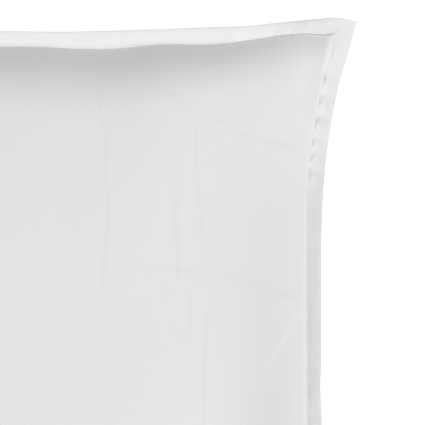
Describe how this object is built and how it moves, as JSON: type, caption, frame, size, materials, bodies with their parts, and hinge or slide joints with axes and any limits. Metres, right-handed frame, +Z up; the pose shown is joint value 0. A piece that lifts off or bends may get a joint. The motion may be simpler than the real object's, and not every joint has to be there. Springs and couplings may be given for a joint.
{
  "type": "pillowcase, filled by its pillow",
  "caption": "White pillowcase with a narrow flat flange, filled and lying on its back, crowned, with its long sides drawn in and an envelope opening in the back.",
  "frame": {"origin": "on the flat of the back, where it rests, under the middle of the case", "axes": "+Z up through the crown of the front, +Y along the case towards its head end (the top of the picture), +X to the picture's right"},
  "size_m": [0.5284, 0.7758, 0.0851],
  "materials": {
    "case_body": "plain-woven white cotton, matt",
    "flange": "two layers of the same cotton, pressed flat, matt",
    "closure_flap": "plain-woven white cotton, matt"
  },
  "bodies": {
    "root": {"case_body": "case_body", "flange": "flange", "closure_flap": "closure_flap"}
  },
  "joints": []
}
